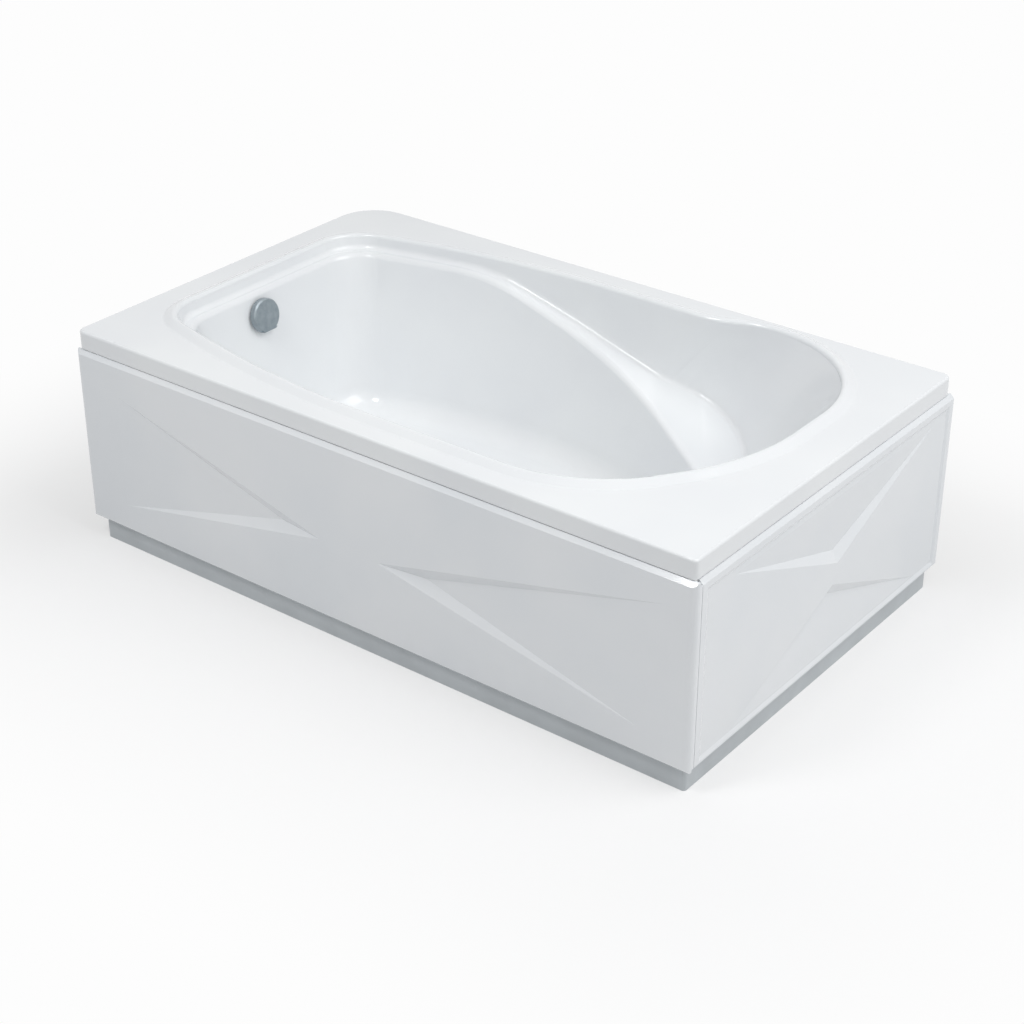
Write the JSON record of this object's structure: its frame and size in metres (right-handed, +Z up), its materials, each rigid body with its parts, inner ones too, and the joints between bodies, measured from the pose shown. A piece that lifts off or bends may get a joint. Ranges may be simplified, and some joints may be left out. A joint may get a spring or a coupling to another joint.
{
  "type": "acrylic bathtub",
  "caption": "Skirted rectangular acrylic bathtub with an asymmetric stepped basin, faceted front and end panels, overflow control knob and pop-up waste on a steel frame.",
  "frame": {"origin": "on the floor under the middle of the bounding box", "axes": "+X along the length towards the head end with the skirted end panel, +Y towards the back wall edge, +Z up"},
  "size_m": [1.5, 0.9, 0.479],
  "materials": {
    "acrylic": "gloss",
    "panel": "gloss",
    "fibreglass": "rough",
    "chipboard": "sanded",
    "timber": "sawn",
    "coated_steel": "satin",
    "zinc_steel": "zinc plated",
    "foot_plastic": "matt",
    "clip_plastic": "satin",
    "plinth_plastic": "satin",
    "chrome": "polished",
    "rubber": "matt",
    "drain_plastic": "satin",
    "cable_plastic": "matt"
  },
  "bodies": {
    "tub": {"acrylic_shell": "acrylic", "fibreglass_backing": "fibreglass", "base_board": "chipboard", "rim_batten_front": "timber", "rim_batten_back": "timber", "rim_batten_left": "timber", "rim_batten_right": "timber", "long_rail_front": "coated_steel", "long_rail_back": "coated_steel", "cross_rail_left": "coated_steel", "cross_rail_right": "coated_steel", "end_post_left_front": "coated_steel", "end_post_left_back": "coated_steel", "end_post_right_front": "coated_steel", "end_post_right_back": "coated_steel", "side_post_front_left": "coated_steel", "side_post_back_left": "coated_steel", "side_post_front_right": "coated_steel", "side_post_back_right": "coated_steel", "post_plates": "coated_steel", "plinth_brackets": "coated_steel", "post_screws": "zinc_steel", "board_screws": "zinc_steel", "levelling_nuts": "zinc_steel", "front_panel_clips": "clip_plastic", "end_panel_clips": "clip_plastic", "front_plinth": "plinth_plastic", "end_plinth": "plinth_plastic", "waste_flange": "chrome", "overflow_face": "chrome", "waste_gasket": "rubber", "overflow_gasket": "rubber", "waste_body": "drain_plastic", "waste_trap": "drain_plastic", "overflow_body": "drain_plastic", "overflow_pipe": "drain_plastic", "pipe_nuts": "drain_plastic", "control_cable": "cable_plastic"},
    "front_panel": {"front_panel": "panel"},
    "end_panel": {"end_panel": "panel"},
    "overflow_knob": {"overflow_knob": "chrome"},
    "drain_plug": {"drain_plug": "chrome", "plug_seal": "rubber"},
    "levelling_foot_front_left": {"levelling_pad_front_left": "foot_plastic", "levelling_stud_front_left": "zinc_steel"},
    "levelling_foot_back_left": {"levelling_pad_back_left": "foot_plastic", "levelling_stud_back_left": "zinc_steel"},
    "levelling_foot_front_right": {"levelling_pad_front_right": "foot_plastic", "levelling_stud_front_right": "zinc_steel"},
    "levelling_foot_back_right": {"levelling_pad_back_right": "foot_plastic", "levelling_stud_back_right": "zinc_steel"}
  },
  "joints": [
    {"name": "overflow_knob_turn", "type": "hinge", "parent": "tub", "child": "overflow_knob", "pos_m": [-0.62643, -0.04, 0.395], "axis": [0.9844, 0, 0.1758], "range_deg": [0, 120]},
    {"name": "drain_plug_lift", "type": "slide", "parent": "tub", "child": "drain_plug", "axis": [0, 0, 1], "range_m": [0, 0.012]},
    {"name": "front_panel_pull", "type": "slide", "parent": "tub", "child": "front_panel", "axis": [0, -1, 0], "range_m": [0, 0.03]},
    {"name": "end_panel_pull", "type": "slide", "parent": "tub", "child": "end_panel", "axis": [1, 0, 0], "range_m": [0, 0.03]},
    {"name": "levelling_front_left", "type": "slide", "parent": "tub", "child": "levelling_foot_front_left", "axis": [0, 0, 1], "range_m": [-0.015, 0.012]},
    {"name": "levelling_back_left", "type": "slide", "parent": "tub", "child": "levelling_foot_back_left", "axis": [0, 0, 1], "range_m": [-0.015, 0.012]},
    {"name": "levelling_front_right", "type": "slide", "parent": "tub", "child": "levelling_foot_front_right", "axis": [0, 0, 1], "range_m": [-0.015, 0.012]},
    {"name": "levelling_back_right", "type": "slide", "parent": "tub", "child": "levelling_foot_back_right", "axis": [0, 0, 1], "range_m": [-0.015, 0.012]}
  ],
  "couplings": [
    {"joint": "drain_plug_lift", "follows": "overflow_knob_turn", "m_per_rad": 0.005729}
  ]
}
